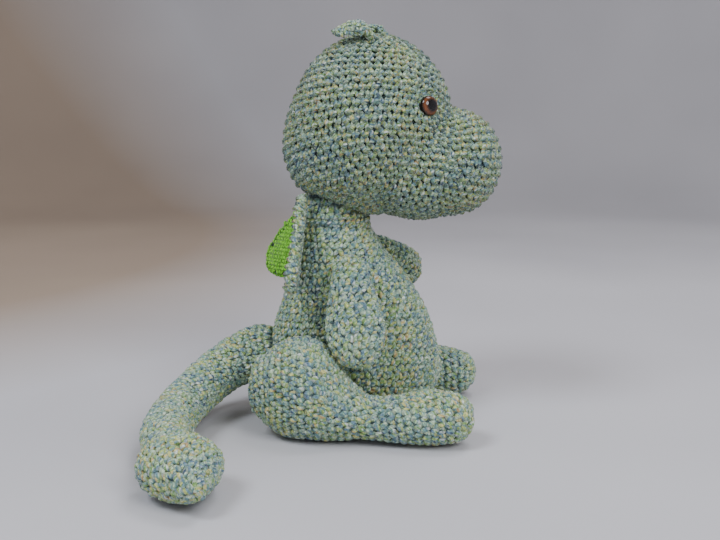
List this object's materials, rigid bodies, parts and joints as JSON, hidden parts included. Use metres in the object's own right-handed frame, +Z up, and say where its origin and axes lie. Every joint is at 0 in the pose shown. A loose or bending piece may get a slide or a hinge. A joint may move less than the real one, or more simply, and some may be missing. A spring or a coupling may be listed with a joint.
{
  "type": "stuffed crochet dragon",
  "caption": "Seated stuffed dragon crocheted in marled green, blue and ochre yarn, with amber safety eyes, small green-lined wings, two ears and a curved tail.",
  "frame": {"origin": "on the flat seat face under the body, on the dragon's middle plane", "axes": "+Z up, the dragon faces -Y, its right side is at -X"},
  "size_m": [0.2577, 0.1926, 0.2349],
  "materials": {
    "crochet": "single crochet in marled wool yarn",
    "crochet_flat": "flat single crochet in marled wool yarn",
    "seam_yarn": "whip-stitched marled yarn",
    "wing_lining": "fine single crochet in plain lime green yarn",
    "stuffing": "loose polyester fibre filling",
    "eye_amber": "clear glossy amber",
    "eye_black": "glossy black",
    "eye_fitting": "moulded black"
  },
  "bodies": {
    "body": {"body_shell": "crochet", "body_stuffing": "stuffing"},
    "neck": {"neck_seam": "seam_yarn"},
    "head": {"head_shell": "crochet", "head_stuffing": "stuffing", "right_eye_lens": "eye_amber", "left_eye_lens": "eye_amber", "right_eye_pupil": "eye_black", "left_eye_pupil": "eye_black", "right_eye_post": "eye_fitting", "left_eye_post": "eye_fitting", "eye_washers": "eye_fitting"},
    "right_arm": {"right_arm_shell": "crochet", "right_arm_stuffing": "stuffing"},
    "left_arm": {"left_arm_shell": "crochet", "left_arm_stuffing": "stuffing"},
    "right_leg": {"right_leg_shell": "crochet", "right_leg_stuffing": "stuffing"},
    "left_leg": {"left_leg_shell": "crochet", "left_leg_stuffing": "stuffing"},
    "tail": {"tail_shell": "crochet", "tail_stuffing": "stuffing"},
    "tail_tip": {"tail_tip_shell": "crochet", "tail_tip_stuffing": "stuffing"},
    "right_wing": {"right_wing_front": "crochet_flat", "right_wing_lining": "wing_lining"},
    "left_wing": {"left_wing_front": "crochet_flat", "left_wing_lining": "wing_lining"},
    "right_ear": {"right_ear": "crochet_flat"},
    "left_ear": {"left_ear": "crochet_flat"}
  },
  "joints": [
    {"name": "head_turn", "type": "hinge", "parent": "body", "child": "neck", "pos_m": [0, 0.0065, 0.126], "axis": [0, 0, 1], "range_deg": [-20, 20], "stiffness_Nm_per_rad": 0.12},
    {"name": "head_nod", "type": "hinge", "parent": "neck", "child": "head", "pos_m": [0, 0.0065, 0.126], "axis": [1, 0, 0], "range_deg": [-10, 8], "stiffness_Nm_per_rad": 1.2},
    {"name": "right_arm_swing", "type": "hinge", "parent": "body", "child": "right_arm", "pos_m": [-0.0396, -0.008, 0.098], "axis": [-1, 0, 0], "range_deg": [0, 70], "stiffness_Nm_per_rad": 0.02},
    {"name": "left_arm_swing", "type": "hinge", "parent": "body", "child": "left_arm", "pos_m": [0.0396, -0.008, 0.098], "axis": [-1, 0, 0], "range_deg": [-40, 25], "stiffness_Nm_per_rad": 0.02},
    {"name": "right_leg_splay", "type": "hinge", "parent": "body", "child": "right_leg", "pos_m": [-0.05, 0.014, 0.03], "axis": [0, 0, -1], "range_deg": [0, 12], "stiffness_Nm_per_rad": 0.15},
    {"name": "left_leg_splay", "type": "hinge", "parent": "body", "child": "left_leg", "pos_m": [0.05, 0.014, 0.03], "axis": [0, 0, 1], "range_deg": [0, 12], "stiffness_Nm_per_rad": 0.15},
    {"name": "tail_swing", "type": "hinge", "parent": "body", "child": "tail", "pos_m": [0, 0.053, 0.036], "axis": [0, 0, 1], "range_deg": [-10, 10], "stiffness_Nm_per_rad": 0.3},
    {"name": "tail_tip_bend", "type": "hinge", "parent": "tail", "child": "tail_tip", "pos_m": [-0.125, 0.0713, 0.013], "axis": [0, 0, 1], "range_deg": [-15, 15], "stiffness_Nm_per_rad": 0.05},
    {"name": "right_wing_flap", "type": "hinge", "parent": "body", "child": "right_wing", "pos_m": [-0.0169, 0.0255, 0.11], "axis": [0, 0, -1], "range_deg": [-2, 36], "stiffness_Nm_per_rad": 0.006},
    {"name": "left_wing_flap", "type": "hinge", "parent": "body", "child": "left_wing", "pos_m": [0.0163, 0.0235, 0.103], "axis": [0, 0, 1], "range_deg": [-20, 3], "stiffness_Nm_per_rad": 0.006},
    {"name": "right_ear_flop", "type": "hinge", "parent": "head", "child": "right_ear", "pos_m": [-0.017, -0.0195, 0.224], "axis": [1, 0, 0], "range_deg": [0, 20], "stiffness_Nm_per_rad": 0.003},
    {"name": "left_ear_flop", "type": "hinge", "parent": "head", "child": "left_ear", "pos_m": [0.017, -0.0255, 0.224], "axis": [1, 0, 0], "range_deg": [0, 20], "stiffness_Nm_per_rad": 0.003}
  ]
}
